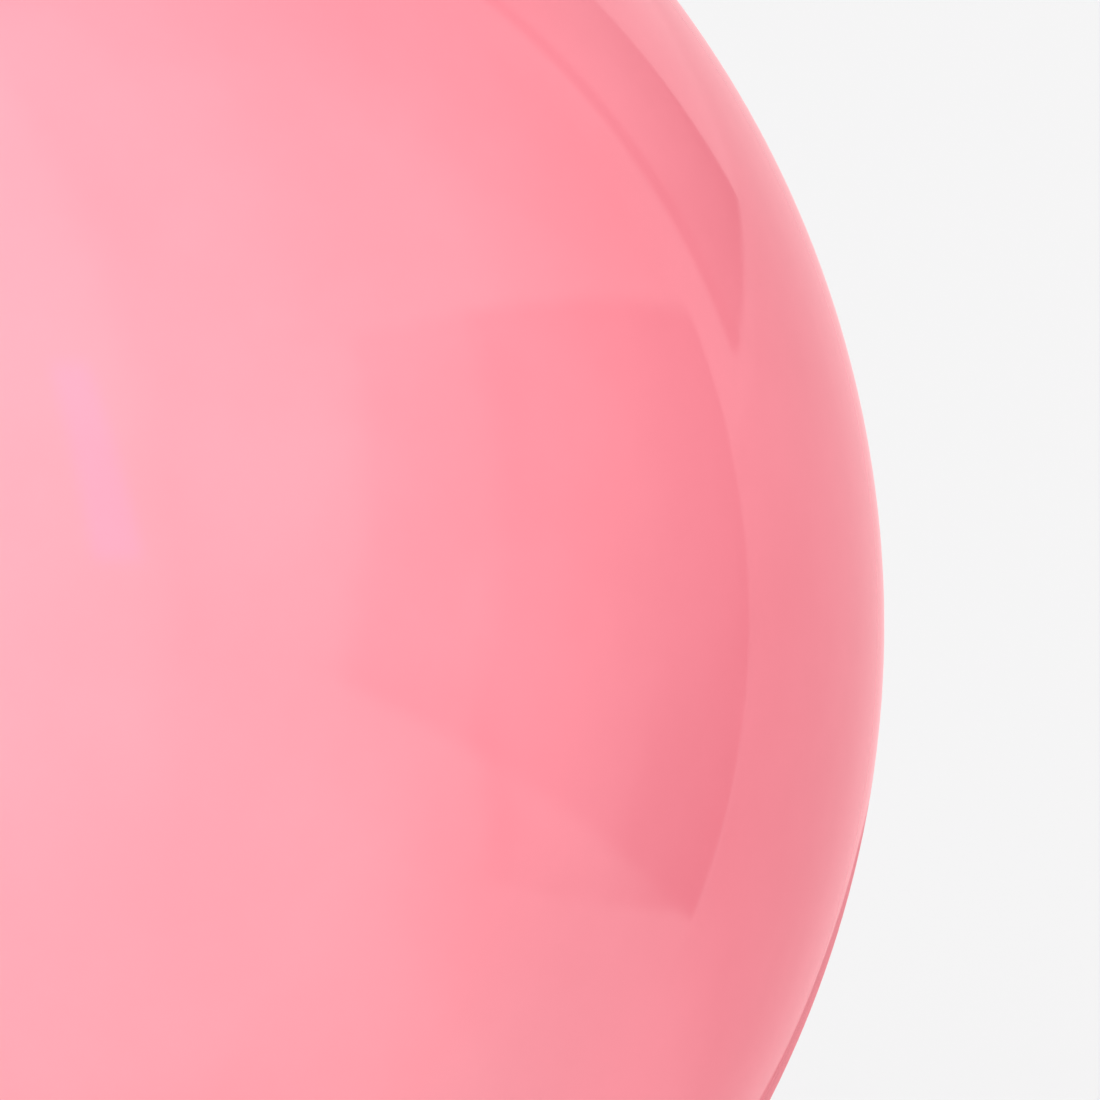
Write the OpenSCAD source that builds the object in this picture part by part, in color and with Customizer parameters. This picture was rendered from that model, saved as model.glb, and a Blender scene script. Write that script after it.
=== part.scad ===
// Inflatable exercise ball with a plug valve.
//
// Millimetres, +Z up. The origin is the middle of the flat that the ball rests on.
// The valve is on the -X side, and its axis runs level through the centre of the ball.

/* [Ball] */
// Diameter of the inflated ball
ball_d = 650; // [450:50:750]
// Thickness of the stretched skin
skin_t = 1; // [0.8:0.1:1.6]
// Radius of the flat where the ball's own weight presses it against the floor
rest_r = 30; // [20:1:40]

/* [Valve seat] */
// Diameter of the collar, which fills the hole in the skin
collar_d = 26; // [24:1:30]
// Diameter of the flange, which is bonded to the inside of the skin
flange_d = 46; // [40:1:50]
// Depth of the flange's flat inner face below the outer surface
flange_depth = 4; // [3.5:0.1:5]
// Diameter of the boss around the bore
boss_d = 20; // [20:0.5:23]
// Depth of the boss's inner end below the outer surface
boss_depth = 16; // [14:0.5:18]
// Diameter of the bore, which the plug seals
bore_d = 9.6; // [9:0.1:10]

/* [Valve plug] */
// Diameter of the head, which sits in a recess in the collar
head_d = 18; // [16:0.5:18.5]
// Thickness of the head, which is also the depth of its recess
head_t = 2.2; // [1.8:0.1:2.6]
// Width of the groove around the head
head_gap = 0.5; // [0.3:0.1:0.6]
// Length of the shank below the head
shank_l = 20; // [17:0.5:22]
// Diameter of the shank between its sealing ribs
shank_d = 8.6; // [8:0.1:8.8]
// Number of sealing ribs
rib_count = 3; // [2:1:3]
// Distance from one sealing rib to the next
rib_pitch = 4; // [3:0.5:4]
// Diameter of the hollow inside the shank
hollow_d = 4.6; // [4:0.1:5]

/* [Hidden] */
// Enough sides for the facets of the drawn sphere to stay within 0.03 mm of the true one
$fn = 256;

ball_r = ball_d / 2;
inner_r = ball_r - skin_t;
// Height of the centre of the ball above the flat
centre_z = sqrt(pow(ball_r, 2) - pow(rest_r, 2));

// Distances from the centre of the ball, along the valve axis
recess_floor = ball_r - head_t;
flange_face = ball_r - flange_depth;
boss_end = ball_r - boss_depth;
shank_end = recess_floor - shank_l;

// Radial running clearance between the sealing ribs and the bore
rib_clearance = 0.05;
rib_r = bore_d / 2 - rib_clearance;
// Radius of a rib's half-round section
rib_section = 0.9;
// Distance from the head's underside to the middle of the first rib
first_rib = 3;
// Rounding of the head's rim
rim_round = 0.7;
// Length of the shank's tapered nose, and its radius at the tip
nose_l = 3;
nose_r = 3.5;
// Depth of the hollow, from the tip of the shank
hollow_l = shank_l - 2;

PINK = [0.96, 0.55, 0.62];
DEEP_PINK = [0.90, 0.42, 0.52];
IVORY = [0.95, 0.94, 0.91];

// Half disc of a ball of radius r, right of the axis and above the height low
module half_disc(r, low) {
    intersection() {
        circle(r);
        translate([0, low]) square([r, r - low]);
    }
}

// Rectangle right of the axis: radius r, from height low to height high
module column(r, low, high) {
    translate([0, low]) square([r, high - low]);
}

// Turns a half section into a solid on the valve axis, with +Y of the section pointing out of the ball
module on_valve_axis() {
    translate([0, 0, centre_z]) rotate([0, -90, 0]) rotate_extrude() children();
}

module ball_skin() {
    color(PINK) difference() {
        translate([0, 0, centre_z]) rotate_extrude() difference() {
            half_disc(ball_r, -centre_z);
            half_disc(inner_r, -centre_z + skin_t);
        }
        on_valve_axis() column(collar_d / 2, flange_face, ball_r + 1);
    }
}

module valve_seat() {
    color(DEEP_PINK) on_valve_axis() difference() {
        union() {
            intersection() {
                circle(ball_r);
                column(collar_d / 2, flange_face, ball_r);
            }
            intersection() {
                circle(inner_r);
                column(flange_d / 2, flange_face, inner_r);
            }
            column(boss_d / 2, boss_end, flange_face);
        }
        column(bore_d / 2, boss_end - 1, ball_r + 1);
        column(head_d / 2 + head_gap, recess_floor, ball_r + 1);
    }
}

// Head with its outer face on the ball's surface and a rounded rim
module plug_head() {
    rim_top = sqrt(pow(ball_r, 2) - pow(head_d / 2, 2));
    intersection() {
        circle(ball_r);
        union() {
            column(head_d / 2, recess_floor, rim_top - rim_round);
            column(head_d / 2 - rim_round, recess_floor, ball_r);
            translate([head_d / 2 - rim_round, rim_top - rim_round]) circle(rim_round);
        }
    }
}

module plug_shank() {
    shank_r = shank_d / 2;
    polygon([
        [0, recess_floor],
        [shank_r, recess_floor],
        [shank_r, shank_end + nose_l],
        [nose_r, shank_end],
        [0, shank_end],
    ]);
}

// Half-round sealing rib, counted from the head
module sealing_rib(i) {
    translate([rib_r - rib_section, recess_floor - first_rib - i * rib_pitch]) circle(rib_section);
}

module valve_plug() {
    color(IVORY) difference() {
        union() {
            on_valve_axis() plug_head();
            on_valve_axis() plug_shank();
            for (i = [0 : rib_count - 1]) on_valve_axis() sealing_rib(i);
        }
        on_valve_axis() column(hollow_d / 2, shank_end - 1, shank_end + hollow_l);
    }
}

ball_skin();
valve_seat();
valve_plug();
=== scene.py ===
"""The looks of an inflatable exercise ball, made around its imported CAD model.

Metres, +Z up. The ball rests on the floor at the origin, its valve is on the -X side, and the camera
looks along +Y. Directions round the studio are (azimuth, elevation) in degrees as seen from the ball:
azimuth 0 is the camera's side, 90 is +X, 180 is behind the ball and -90 is the valve's side.
"""

import math

import bpy
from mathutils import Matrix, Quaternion, Vector, noise


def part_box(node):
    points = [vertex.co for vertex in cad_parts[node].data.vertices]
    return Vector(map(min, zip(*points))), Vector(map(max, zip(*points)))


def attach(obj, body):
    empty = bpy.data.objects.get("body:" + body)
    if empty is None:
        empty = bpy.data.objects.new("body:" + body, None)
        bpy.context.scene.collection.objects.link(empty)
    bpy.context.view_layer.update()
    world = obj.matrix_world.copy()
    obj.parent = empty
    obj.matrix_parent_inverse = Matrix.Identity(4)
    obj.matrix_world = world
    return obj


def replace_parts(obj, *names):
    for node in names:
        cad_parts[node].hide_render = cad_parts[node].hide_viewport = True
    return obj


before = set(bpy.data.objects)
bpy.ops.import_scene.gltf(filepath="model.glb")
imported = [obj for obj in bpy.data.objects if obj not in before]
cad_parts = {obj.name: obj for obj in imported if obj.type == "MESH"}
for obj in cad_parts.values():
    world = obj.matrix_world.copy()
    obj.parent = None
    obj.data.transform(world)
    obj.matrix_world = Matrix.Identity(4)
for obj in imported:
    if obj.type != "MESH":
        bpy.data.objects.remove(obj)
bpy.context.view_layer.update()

MM = 0.001

# The ball, from the frame
skin_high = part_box("ball_skin")[1]
BALL_R = skin_high.x
CENTRE = Vector((0, 0, skin_high.z - BALL_R))
SKIN_T = 1.0 * MM

# The valve is round the line from the ball's centre to its -X side. Heights along that line are from the
# centre
seat_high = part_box("valve_seat")[1]
plug_low, plug_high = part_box("valve_plug")
COLLAR_R = 13.0 * MM
FLANGE_R = seat_high.y
FLANGE_FACE = BALL_R - 4.0 * MM
BOSS_R = 10.0 * MM
BOSS_END = -seat_high.x
BORE_R = 4.8 * MM
HEAD_R = plug_high.y
HEAD_TOP = -plug_low.x
RECESS_R = HEAD_R + 0.5 * MM
RECESS_FLOOR = HEAD_TOP - 2.2 * MM
SHANK_R = 4.3 * MM
SHANK_END = -plug_high.x
NOSE_R = 3.5 * MM
NOSE_L = 3.0 * MM
HOLLOW_R = 2.3 * MM
HOLLOW_END = SHANK_END + 18.0 * MM
RIB_R = 4.75 * MM
RIB_SECTION = 0.9 * MM
FIRST_RIB = 3.0 * MM
RIB_PITCH = 4.0 * MM
RIB_COUNT = 3


# Nodes


class Graph:
    """A node tree that is written as nested calls."""

    def __init__(self, tree):
        self.tree = tree
        tree.nodes.clear()

    def node(self, kind, inputs=None, **settings):
        """Adds a node. An input is either another node's output or a plain value."""
        made = self.tree.nodes.new(kind)
        for name, value in settings.items():
            setattr(made, name, value)
        for socket, value in (inputs or {}).items():
            if isinstance(value, bpy.types.NodeSocket):
                self.tree.links.new(value, made.inputs[socket])
            else:
                made.inputs[socket].default_value = value
        return made

    def math(self, operation, *values):
        return self.node("ShaderNodeMath", dict(enumerate(values)), operation=operation).outputs[0]

    def smooth(self, value, start, end):
        """0 where value is at start, 1 at end, and smooth between them."""
        inputs = {"Value": value, "From Min": start, "From Max": end}
        made = self.node("ShaderNodeMapRange", inputs, interpolation_type="SMOOTHSTEP")
        return made.outputs["Result"]

    def mix(self, a, b, share):
        """The number a where share is 0 and b where it is 1."""
        inputs = {"A": a, "B": b, "Factor": share}
        return self.node("ShaderNodeMix", inputs, data_type="FLOAT").outputs["Result"]

    def mix_colour(self, a, b, share):
        """The colour a where share is 0 and b where it is 1. Sockets 6 and 7 are the node's two colours,
        and its output 2 is their mix."""
        inputs = {0: share, 6: (*a, 1), 7: (*b, 1)}
        return self.node("ShaderNodeMix", inputs, data_type="RGBA").outputs[2]

    def ramp(self, value, stops, low, high, top):
        """Runs through the (value, height) stops in straight lines and is level outside them. The values
        lie from low to high, and the heights from 0 to top."""
        share = self.math("DIVIDE", self.math("SUBTRACT", value, low), high - low)
        made = self.node("ShaderNodeValToRGB", {"Fac": share})
        elements = made.color_ramp.elements
        while len(elements) < len(stops):
            elements.new(0.5)
        for element, (at, height) in zip(elements, stops):
            element.position = (at - low) / (high - low)
            element.color = (height / top, height / top, height / top, 1)
        return self.math("MULTIPLY", made.outputs["Color"], top)


# Materials

PLASTIC_IOR = 1.55
# Width of a smudge, as a share of a colour cloud's
SMUDGE_SHARE = 0.35
SMUDGE_TWIST = 0.8


def moulded(name, deep, pale, roughness, cloud, peel, grain):
    """Moulded plastic. Its colour runs from deep to pale in soft clouds of size cloud, its roughness from
    low to high in smudges, and its surface has an orange peel and a finer grain, each (size, height)."""
    material = bpy.data.materials.new(name)
    material.use_nodes = True
    graph = Graph(material.node_tree)
    place = graph.node("ShaderNodeTexCoord").outputs["Object"]

    def noise_of(size, detail, twist=0.0):
        inputs = {"Vector": place, "Scale": 1 / size, "Detail": detail, "Distortion": twist}
        return graph.node("ShaderNodeTexNoise", inputs).outputs[0]

    clouds = graph.smooth(noise_of(cloud, detail=4), start=0.3, end=0.7)
    colour = graph.mix_colour(deep, pale, clouds)
    smudge = noise_of(cloud * SMUDGE_SHARE, detail=6, twist=SMUDGE_TWIST)
    smudge = graph.smooth(smudge, start=0.35, end=0.75)
    low, high = roughness
    surface = {"Base Color": colour, "IOR": PLASTIC_IOR}
    surface["Roughness"] = graph.math("MULTIPLY_ADD", smudge, high - low, low)
    for (size, height), detail in ((peel, 2), (grain, 3)):
        relief = {"Height": noise_of(size, detail), "Distance": height}
        if "Normal" in surface:
            relief["Normal"] = surface["Normal"]
        surface["Normal"] = graph.node("ShaderNodeBump", relief).outputs[0]
    shader = graph.node("ShaderNodeBsdfPrincipled", surface)
    graph.node("ShaderNodeOutputMaterial", {"Surface": shader.outputs[0]})
    return material


# The camera

# The outline of the ball and the place of its middle, in widths of the picture
OUTLINE_R = 0.9505
MIDDLE_LEFT = 0.6455
MIDDLE_DOWN = 0.0654
CAMERA_DISTANCE = 12.0 * BALL_R
CAMERA_ELEVATION = 4.0
SENSOR_MM = 36.0
FARTHEST_SEEN = 300.0


def camera():
    """Looks down a little, at a point to the right of the ball's middle and above it."""
    data = bpy.data.cameras.new("camera")
    eye = bpy.data.objects.new("camera", data)
    bpy.context.scene.collection.objects.link(eye)
    bpy.context.scene.camera = eye
    outline_slope = 1 / math.sqrt((CAMERA_DISTANCE / BALL_R) ** 2 - 1)
    data.sensor_width = SENSOR_MM
    data.lens = SENSOR_MM * OUTLINE_R / outline_slope
    width = CAMERA_DISTANCE * SENSOR_MM / data.lens
    elevation = math.radians(CAMERA_ELEVATION)
    back = Vector((0, -math.cos(elevation), math.sin(elevation)))
    up = Vector((0, math.sin(elevation), math.cos(elevation)))
    aim = CENTRE + Vector((1, 0, 0)) * (MIDDLE_LEFT * width) + up * (MIDDLE_DOWN * width)
    eye.location = CENTRE + back * CAMERA_DISTANCE
    eye.rotation_mode = "QUATERNION"
    eye.rotation_quaternion = (aim - eye.location).to_track_quat("-Z", "Y")
    data.clip_end = FARTHEST_SEEN


# The studio

# The plain ground behind the ball, as linear light
PALE = 0.913

# Light round the studio, as (azimuth, light) stops: from the tent above, from the table top far below,
# and from the table top just under the ball
BRIGHTEST = 4.0
TENT = [(-180, 0.85), (-115, 0.9), (-90, 1.2), (-60, 2.5), (-20, 2.9), (10, 2.75), (20, 2.5), (32, 2.35)]
TENT += [(37, 1.9), (53, 1.9), (60, 1.6), (72, 1.4), (86, 1.1), (96, 0.75), (106, 0.55), (116, 0.42)]
TENT += [(142, 0.5), (145, 0.6), (180, 0.85)]
FAR_TABLE = [(-180, 0.6), (-100, 0.75), (-60, 1.2), (0, 2.2), (20, 2.3), (38, 1.8), (56, 2.0), (67, 1.5)]
FAR_TABLE += [(77, 1.1), (96, 0.78), (126, 0.6), (180, 0.6)]
NEAR_TABLE = [(-180, 0.75), (-100, 0.85), (-60, 1.4), (0, 2.5), (30, 2.6), (87, 1.65), (96, 1.4), (116, 1.1)]
NEAR_TABLE += [(150, 0.85), (180, 0.75)]

# The elevations between which the tent gives way to the far table, and the far table to the near one
TABLE_EDGE = (-2, -20)
NEAR_TABLE_EDGE = (-20, -42)

# The tent dims toward its top, as (from elevation, to elevation, share of the light that is left)
ROOF = [(30, 50, 0.85), (66, 78, 0.5)]

# The panels, in the order that they cover each other. Each is a convex outline of (azimuth, elevation,
# blur) corners, where blur is half the width in degrees of the soft edge from that corner to the next.
# Its light is one value, or (azimuth, light) stops. The wall's stops are (elevation, light).
SHELF = [(73, -8, 1.5), (108, -15, 1), (116, -17, 0.7), (79.5, -21.5, 2)]
SHELF_LIGHT = [(84, 0.75), (96, 0.55), (108, 0.2)]
OPENING = [(48, 25, 1), (117.5, 18, 0.6), (116.5, -17.5, 0.8), (107, -17.5, 1.2), (50, -4, 8)]
OPENING_LIGHT = [(48, 1.9), (54, 1.7), (58, 1.1), (72, 0.9), (76, 0.52), (91, 0.28), (98, 0.15), (103, 0)]
BACKDROP = [(117.5, 13, 0.8), (143, 16, 0.8), (178.5, 19.5, 1), (178.5, -20.5, 5), (117, -17, 0.5)]
BACKDROP_LIGHT = [(116, 0.32), (135, 0.42), (155, 0.58), (180, 0.66)]
WALL = [(123, 52, 2), (141.5, 53, 0.4), (142.5, 16.5, 0.5), (124.5, 14, 0.8)]
WALL_LIGHT = [(14, 0.13), (19, 0.2), (25, 0.33), (50, 0.4)]
WALL_LINE = [(121, 52, 1), (123.5, 52, 0.8), (126.5, 14, 0.5), (123.5, 14, 0.8)]
WALL_LINE_LIGHT = 0.06
WALL_END = [(137, 16, 0.5), (142.5, 16, 0.5), (142, 21.5, 0.8), (141, 21.5, 1.5)]
WALL_END_LIGHT = 0.12
SHADE = [(175.5, -0.5, 0.3), (168, -2.5, 0.3), (164.5, -5, 0.3), (161, -10.5, 0.6), (157, -20, 3)]
SHADE += [(178, -20, 3)]
SHADE_LIGHT = 0.3

# How far round toward the back the opening's stops lean for each degree up
OPENING_LEAN = 0.3

# A cool strip of daylight on the left of the opening, which only adds blue
COOL = [(24.5, 27, 1.5), (29, 27, 1.2), (32.5, 6.5, 1.5), (27, 6.5, 1.2)]
COOL_BLUE = 1.2

# The red that the ball throws on what is behind it, as (elevation, light) stops, the azimuths between
# which it comes in and goes out, and the blue that goes with it, as a share
ROSY = [(-60, 1.0), (-30, 0.9), (-20, 0.7), (-10, 0.55), (0, 0.5), (20, 0.35), (35, 0.1), (50, 0)]
ROSY_STRONGEST = 2.0
ROSY_START = (90, 125)
ROSY_END = (210, 175)
ROSY_BLUE = 0.07


def toward(azimuth, elevation):
    """The direction of a panel's corner. The panels lean with the camera's line of sight."""
    a, e = math.radians(azimuth), math.radians(elevation)
    level = Vector((math.sin(a) * math.cos(e), -math.cos(a) * math.cos(e), math.sin(e)))
    return Quaternion((1, 0, 0), math.radians(-CAMERA_ELEVATION)) @ level


def inside(graph, direction, outline):
    """1 in the panel with this outline and 0 outside."""
    points = [toward(azimuth, elevation) for azimuth, elevation, _ in outline]
    middle = sum(points, Vector())
    share = 1.0
    for point, following, (_, _, blur) in zip(points, points[1:] + points[:1], outline):
        across = point.cross(following).normalized()
        if across.dot(middle) < 0:
            across = -across
        depth = graph.node("ShaderNodeVectorMath", {0: direction, 1: across}, operation="DOT_PRODUCT")
        half = math.sin(math.radians(blur))
        share = graph.math("MULTIPLY", graph.smooth(depth.outputs["Value"], -half, half), share)
    return share


def studio():
    """A white tent and a pale table top round the ball, with a dark opening on the right. The camera
    sees a plain pale ground in their place."""
    world = bpy.data.worlds.new("studio")
    bpy.context.scene.world = world
    world.use_nodes = True
    graph = Graph(world.node_tree)
    place = graph.node("ShaderNodeTexCoord").outputs["Generated"]
    direction = graph.node("ShaderNodeVectorMath", {0: place}, operation="NORMALIZE").outputs[0]
    split = graph.node("ShaderNodeSeparateXYZ", {0: direction}).outputs
    turn = graph.math("ARCTAN2", split["X"], graph.math("MULTIPLY", split["Y"], -1))
    azimuth = graph.math("DEGREES", turn)
    elevation = graph.math("DEGREES", graph.math("ARCSINE", split["Z"]))

    def round_about(stops, lean=0):
        leaning = graph.math("MULTIPLY_ADD", elevation, -lean, azimuth)
        return graph.ramp(leaning, stops, low=-180, high=180, top=BRIGHTEST)

    light = round_about(TENT)
    for start, end, share in ROOF:
        light = graph.math("MULTIPLY", light, graph.mix(1.0, share, graph.smooth(elevation, start, end)))
    near = graph.smooth(elevation, *NEAR_TABLE_EDGE)
    table = graph.mix(round_about(FAR_TABLE), round_about(NEAR_TABLE), near)
    light = graph.mix(light, table, graph.smooth(elevation, *TABLE_EDGE))
    for outline, brightness in (
        (SHELF, round_about(SHELF_LIGHT)),
        (OPENING, round_about(OPENING_LIGHT, OPENING_LEAN)),
        (BACKDROP, round_about(BACKDROP_LIGHT)),
        (WALL, graph.ramp(elevation, WALL_LIGHT, low=0, high=60, top=1)),
        (WALL_LINE, WALL_LINE_LIGHT),
        (WALL_END, WALL_END_LIGHT),
        (SHADE, SHADE_LIGHT),
    ):
        light = graph.mix(light, brightness, inside(graph, direction, outline))

    # Azimuths run from -180 to 180, so what goes out past 180 is found a full turn lower
    right = graph.math("MULTIPLY", graph.smooth(azimuth, *ROSY_START), graph.smooth(azimuth, *ROSY_END))
    left = graph.smooth(graph.math("ADD", azimuth, 360), *ROSY_END)
    reach = graph.math("MAXIMUM", right, left)
    rosy = graph.ramp(elevation, ROSY, low=-60, high=60, top=ROSY_STRONGEST)
    rosy = graph.math("MULTIPLY", reach, rosy)
    blue = graph.math("MULTIPLY_ADD", rosy, ROSY_BLUE, light)
    blue = graph.math("MULTIPLY_ADD", inside(graph, direction, COOL), COOL_BLUE, blue)
    channels = {"Red": graph.math("ADD", light, rosy), "Green": light, "Blue": blue}
    colour = graph.node("ShaderNodeCombineColor", channels).outputs[0]

    dome = graph.node("ShaderNodeBackground", {"Color": colour})
    plain = graph.node("ShaderNodeBackground", {"Color": (PALE, PALE, PALE, 1)})
    seen = graph.node("ShaderNodeLightPath").outputs["Is Camera Ray"]
    shown = graph.node("ShaderNodeMixShader", {0: seen, 1: dome.outputs[0], 2: plain.outputs[0]})
    graph.node("ShaderNodeOutputWorld", {"Surface": shown.outputs[0]})


FLOOR_HALF = 150.0
# Chosen so that the lit floor is as bright as the plain ground
FLOOR_ALBEDO = (0.705, 0.716, 0.716)
NEAR_FLOOR_FULL = 0.5 * BALL_R
NEAR_FLOOR_END = 1.15 * BALL_R
NEAR_FLOOR_LIFT = 0.1 * MM


def ground(name, half, height, material):
    """A level square of the stage, 2 * half wide."""
    corners = [(-half, -half, height), (half, -half, height), (half, half, height), (-half, half, height)]
    mesh = bpy.data.meshes.new(name)
    mesh.from_pydata(corners, [], [(0, 1, 2, 3)])
    mesh.materials.append(material)
    piece = bpy.data.objects.new(name, mesh)
    bpy.context.scene.collection.objects.link(piece)
    return piece


def floor():
    """A pale floor. It stays out of reflections, where the studio's table top stands for it."""
    material = bpy.data.materials.new("floor")
    material.use_nodes = True
    graph = Graph(material.node_tree)
    matt = graph.node("ShaderNodeBsdfDiffuse", {"Color": (*FLOOR_ALBEDO, 1)})
    graph.node("ShaderNodeOutputMaterial", {"Surface": matt.outputs[0]})
    ground("floor", FLOOR_HALF, 0, material).visible_glossy = False


def near_floor():
    """The floor under the ball with its soft shadow, for reflections only. It fades out round the ball."""
    material = bpy.data.materials.new("near floor")
    material.use_nodes = True
    graph = Graph(material.node_tree)
    matt = graph.node("ShaderNodeBsdfDiffuse", {"Color": (*FLOOR_ALBEDO, 1)})
    clear = graph.node("ShaderNodeBsdfTransparent")
    place = graph.node("ShaderNodeTexCoord").outputs["Object"]
    away = graph.node("ShaderNodeVectorMath", {0: place}, operation="LENGTH").outputs["Value"]
    share = graph.smooth(away, NEAR_FLOOR_END, NEAR_FLOOR_FULL)
    both = graph.node("ShaderNodeMixShader", {0: share, 1: clear.outputs[0], 2: matt.outputs[0]})
    graph.node("ShaderNodeOutputMaterial", {"Surface": both.outputs[0]})
    piece = ground("near floor", NEAR_FLOOR_END, NEAR_FLOOR_LIFT, material)
    piece.visible_camera = False
    piece.visible_diffuse = False
    piece.visible_transmission = False
    piece.visible_shadow = False


# Meshes


def on_ball(radius, ball_r=BALL_R):
    """Height of the ball's surface at this distance from the valve's axis."""
    return math.sqrt(ball_r**2 - radius**2)


def rounded(corners, steps=5):
    """An outline through (radius, height, fillet) corners, with an arc in place of each corner that has
    a fillet."""
    outline = []
    for i, (radius, height, fillet) in enumerate(corners):
        here = Vector((radius, height))
        if not fillet:
            outline.append((radius, height))
            continue
        before = (Vector(corners[i - 1][:2]) - here).normalized()
        after = (Vector(corners[(i + 1) % len(corners)][:2]) - here).normalized()
        half = before.angle(after) / 2
        centre = here + (before + after).normalized() * (fillet / math.sin(half))
        start = here + before * (fillet / math.tan(half)) - centre
        end = here + after * (fillet / math.tan(half)) - centre
        arc = math.atan2(start.x * end.y - start.y * end.x, start.dot(end))
        for step in range(steps + 1):
            c, s = math.cos(arc * step / steps), math.sin(arc * step / steps)
            outline.append((centre.x + start.x * c - start.y * s, centre.y + start.x * s + start.y * c))
    return outline


def lathe(name, outline, segments, shape=None):
    """Turns a closed outline of (radius, height) points round the valve's axis into a mesh object. Shape
    may move each point after that."""
    points, rings = [], []
    for radius, height in outline:
        turns = segments if radius > 0 else 1
        rings.append((len(points), turns))
        for k in range(turns):
            angle = 2 * math.pi * k / segments
            across = Vector((0, radius * math.cos(angle), radius * math.sin(angle)))
            point = CENTRE + Vector((-height, 0, 0)) + across
            points.append(shape(point) if shape else point)
    faces = []
    for (a, a_turns), (b, b_turns) in zip(rings, rings[1:] + rings[:1]):
        if a_turns == b_turns == 1:
            continue
        for k in range(segments):
            after = (k + 1) % segments
            corners = [a + k % a_turns, a + after % a_turns, b + after % b_turns, b + k % b_turns]
            faces.append(list(dict.fromkeys(corners)))
    mesh = bpy.data.meshes.new(name)
    mesh.from_pydata(points, [], faces)
    mesh.validate()
    mesh.shade_smooth()
    piece = bpy.data.objects.new(name, mesh)
    bpy.context.scene.collection.objects.link(piece)
    return piece


def ease(t):
    """0 for t up to 0, 1 from 1 on, and smooth between them."""
    t = min(max(t, 0.0), 1.0)
    return t * t * (3 - 2 * t)


def hill(x, middle, half_width):
    """A smooth hill, 1 high at middle and gone at half_width from it."""
    return ease(1 - abs(x - middle) / half_width)


# The skin: a little proud round the valve, with a fine ring moulded there, and a fine ridge where the
# mould parts
PATCH_R = 29.0 * MM
PATCH_EDGE = 2.0 * MM
PATCH_PROUD = 0.2 * MM
RING_R = 17.5 * MM
RING_HALF = 1.4 * MM
RING_PROUD = 0.5 * MM
SEAM_HALF = 0.9 * MM
SEAM_PROUD = 0.25 * MM
HOLE_ROUND = 0.25 * MM
# The mesh has finer rings out to this distance from the valve's axis
FINE_R = 34.0 * MM
# The foot's edge bends over this height to each side of the floor
FLAT_BLEND = 0.8 * MM
UNEVEN_SIZE = 90.0 * MM
UNEVEN_HEIGHT = 0.06 * MM
SKIN_SEGMENTS = 288
VALVE_SEGMENTS = 128


def proud_of_ball(angle):
    """How far the skin's outer face stands out of the ball at this angle from the valve's axis."""
    arc = BALL_R * angle
    patch = PATCH_PROUD * ease((PATCH_R - arc) / PATCH_EDGE)
    ring = RING_PROUD * hill(arc, RING_R, RING_HALF)
    seam = SEAM_PROUD * hill(arc, BALL_R * math.pi / 2, SEAM_HALF)
    edge = (arc - COLLAR_R) / HOLE_ROUND
    hole = HOLE_ROUND * (1 - math.sqrt(max(0, 1 - (1 - edge) ** 2))) if edge < 1 else 0
    return patch + ring + seam - hole


def skin_outline():
    """The outer face from the valve's hole round to the far side of the ball, and the inner face back."""
    hole = math.asin(COLLAR_R / BALL_R)
    hole_end = hole + HOLE_ROUND / BALL_R
    fine_end = FINE_R / BALL_R
    seam = math.pi / 2
    close = 3 * SEAM_HALF / BALL_R
    # (from angle, to angle, number of rings)
    stretches = [
        (hole, hole_end, 4),
        (hole_end, fine_end, 44),
        (fine_end, seam - close, 82),
        (seam - close, seam + close, 24),
        (seam + close, math.pi, 84),
    ]
    outline = []
    for start, end, count in stretches:
        for k in range(count):
            angle = start + (end - start) * k / count
            r = BALL_R + proud_of_ball(angle)
            outline.append((r * math.sin(angle), r * math.cos(angle)))
    inner = BALL_R - SKIN_T
    inner_hole = math.asin(COLLAR_R / inner)
    inner_count = 48
    outline.append((0, -BALL_R))
    outline.append((0, -inner))
    for k in reversed(range(inner_count)):
        angle = inner_hole + (math.pi - inner_hole) * k / inner_count
        outline.append((inner * math.sin(angle), inner * math.cos(angle)))
    return outline


def pressed(point):
    """Makes the ball a little uneven, as an inflated one is, and presses its foot flat on the floor."""
    out = point - CENTRE
    from_valve = (out / BALL_R + Vector((1, 0, 0))).length * BALL_R
    share = ease((from_valve - PATCH_R) / PATCH_R)
    point = point + out.normalized() * (UNEVEN_HEIGHT * noise.noise(out / UNEVEN_SIZE) * share)
    lowest = 0 if out.length > BALL_R - SKIN_T / 2 else SKIN_T
    z = point.z - lowest
    if z < FLAT_BLEND:
        z = 0 if z < -FLAT_BLEND else (z + FLAT_BLEND) ** 2 / (4 * FLAT_BLEND)
    return Vector((point.x, point.y, z + lowest))


def ball_skin():
    """The hollow skin, open at the valve's hole."""
    piece = lathe("skin", skin_outline(), SKIN_SEGMENTS, pressed)
    vinyl = moulded(
        "glossy vinyl",
        deep=(0.757, 0.210, 0.256),
        pale=(0.780, 0.224, 0.272),
        roughness=(0.02, 0.05),
        cloud=70 * MM,
        peel=(5 * MM, 0.006 * MM),
        grain=(0.6 * MM, 0.0006 * MM),
    )
    piece.data.materials.append(vinyl)
    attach(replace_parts(piece, "ball_skin"), "ball")


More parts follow.
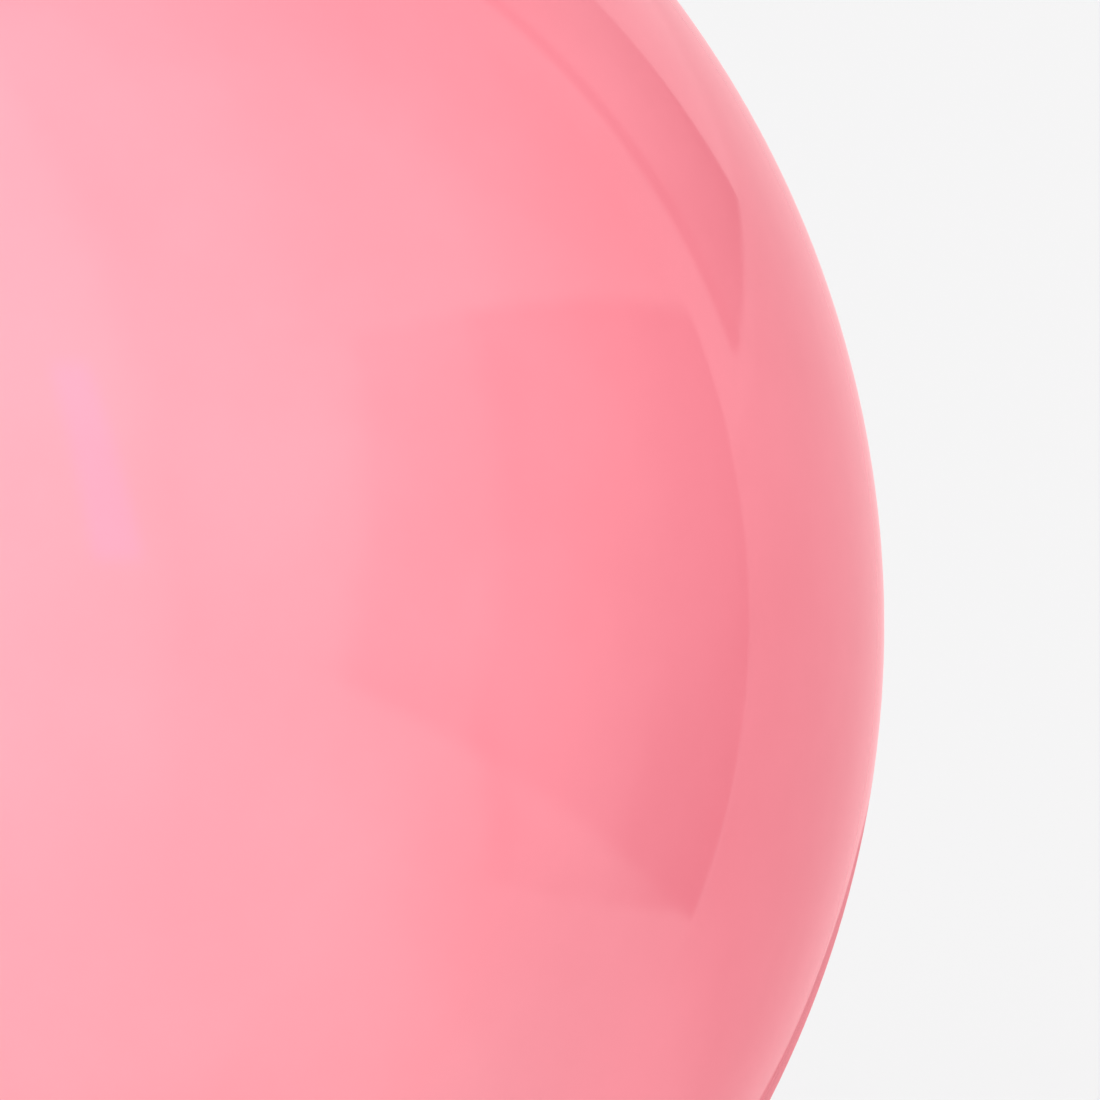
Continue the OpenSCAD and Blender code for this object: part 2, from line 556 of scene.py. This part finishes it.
def valve_seat():
    """Collar in the skin's hole, recess for the plug's head, flange behind the skin, and bored boss."""
    under = BALL_R - SKIN_T
    corners = [
        (BORE_R, RECESS_FLOOR, 0.3 * MM),
        (RECESS_R, RECESS_FLOOR, 0.3 * MM),
        (RECESS_R, on_ball(RECESS_R), 0.5 * MM),
        (COLLAR_R, on_ball(COLLAR_R), 0.25 * MM),
        (COLLAR_R, on_ball(COLLAR_R, under), 0),
        (FLANGE_R, on_ball(FLANGE_R, under), 0.4 * MM),
        (FLANGE_R, FLANGE_FACE, 0.4 * MM),
        (BOSS_R, FLANGE_FACE, 1.0 * MM),
        (BOSS_R, BOSS_END, 0.6 * MM),
        (BORE_R, BOSS_END, 0.6 * MM),
    ]
    piece = lathe("seat", rounded(corners), VALVE_SEGMENTS)
    vinyl = moulded(
        "satin vinyl",
        deep=(0.66, 0.150, 0.200),
        pale=(0.72, 0.175, 0.228),
        roughness=(0.28, 0.42),
        cloud=9 * MM,
        peel=(1.5 * MM, 0.01 * MM),
        grain=(0.25 * MM, 0.004 * MM),
    )
    piece.data.materials.append(vinyl)
    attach(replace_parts(piece, "valve_seat"), "ball")


def rib_corners(height, steps=8):
    """The half-round outline of a sealing rib whose middle is at this height, from the top down."""
    middle = RIB_R - RIB_SECTION
    spread = math.acos((SHANK_R - middle) / RIB_SECTION)
    corners = []
    for step in range(steps + 1):
        angle = spread * (1 - 2 * step / steps)
        radius = middle + RIB_SECTION * math.cos(angle)
        corners.append((radius, height + RIB_SECTION * math.sin(angle), 0))
    return corners


def valve_plug():
    """Round head with a groove and a gate mark, and a hollow ribbed shank."""
    gate_r = 1.3 * MM
    gate_floor = HEAD_TOP - 0.25 * MM
    groove_inner, groove_outer = 5.75 * MM, 6.65 * MM
    groove_floor = HEAD_TOP - 0.3 * MM
    groove_slope = 0.1 * MM
    corners = [
        (0, gate_floor, 0),
        (0.8 * gate_r, gate_floor, 0.15 * MM),
        (gate_r, on_ball(gate_r), 0.12 * MM),
        (groove_inner, on_ball(groove_inner), 0.15 * MM),
        (groove_inner + groove_slope, groove_floor, 0.12 * MM),
        (groove_outer - groove_slope, groove_floor, 0.12 * MM),
        (groove_outer, on_ball(groove_outer), 0.15 * MM),
        (HEAD_R, on_ball(HEAD_R), 0.7 * MM),
        (HEAD_R, RECESS_FLOOR, 0.35 * MM),
        (SHANK_R, RECESS_FLOOR, 0.4 * MM),
    ]
    for i in range(RIB_COUNT):
        corners += rib_corners(RECESS_FLOOR - FIRST_RIB - i * RIB_PITCH)
    corners += [
        (SHANK_R, SHANK_END + NOSE_L, 0.5 * MM),
        (NOSE_R, SHANK_END, 0.4 * MM),
        (HOLLOW_R, SHANK_END, 0.3 * MM),
        (HOLLOW_R, HOLLOW_END, 0.8 * MM),
        (0, HOLLOW_END, 0),
    ]
    piece = lathe("plug", rounded(corners), VALVE_SEGMENTS)
    ivory = moulded(
        "ivory plastic",
        deep=(0.60, 0.58, 0.52),
        pale=(0.69, 0.67, 0.62),
        roughness=(0.3, 0.5),
        cloud=6 * MM,
        peel=(1.2 * MM, 0.008 * MM),
        grain=(0.2 * MM, 0.004 * MM),
    )
    piece.data.materials.append(ivory)
    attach(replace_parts(piece, "valve_plug"), "plug")


scene = bpy.context.scene
scene.view_settings.view_transform = "Standard"
scene.cycles.use_denoising = True

camera()
studio()
floor()
near_floor()
ball_skin()
valve_seat()
valve_plug()
